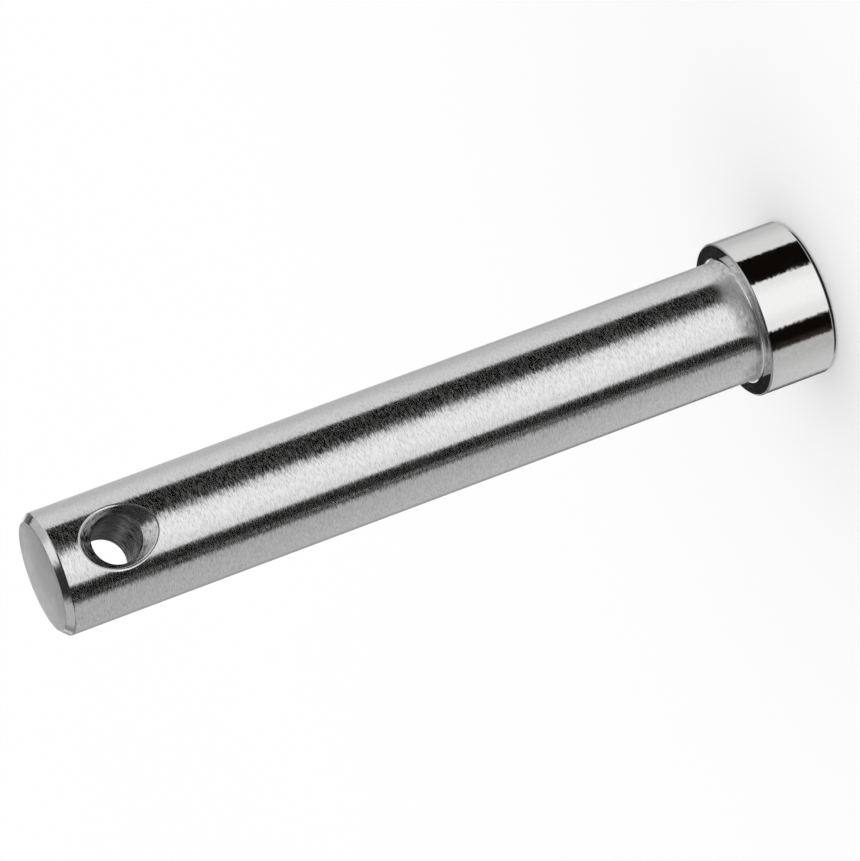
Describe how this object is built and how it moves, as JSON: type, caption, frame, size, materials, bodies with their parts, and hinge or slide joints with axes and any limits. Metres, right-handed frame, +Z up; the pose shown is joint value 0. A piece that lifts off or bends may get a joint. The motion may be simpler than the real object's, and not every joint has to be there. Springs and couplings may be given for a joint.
{
  "type": "pulley shaft",
  "caption": "Headed steel pin that carries a pulley, with a cross hole near its chamfered free end for a split pin.",
  "frame": {"origin": "centre of the head's outer face, which the part stands on", "axes": "+Z up the shaft's axis, from the head to the free end; X along the cross hole"},
  "size_m": [0.0128, 0.0128, 0.066],
  "materials": {
    "bright_steel": "bright zinc-plated or stainless steel: shank finely ground round its axis, head polished"
  },
  "bodies": {
    "root": {"pulley_shaft": "bright_steel"}
  },
  "joints": []
}
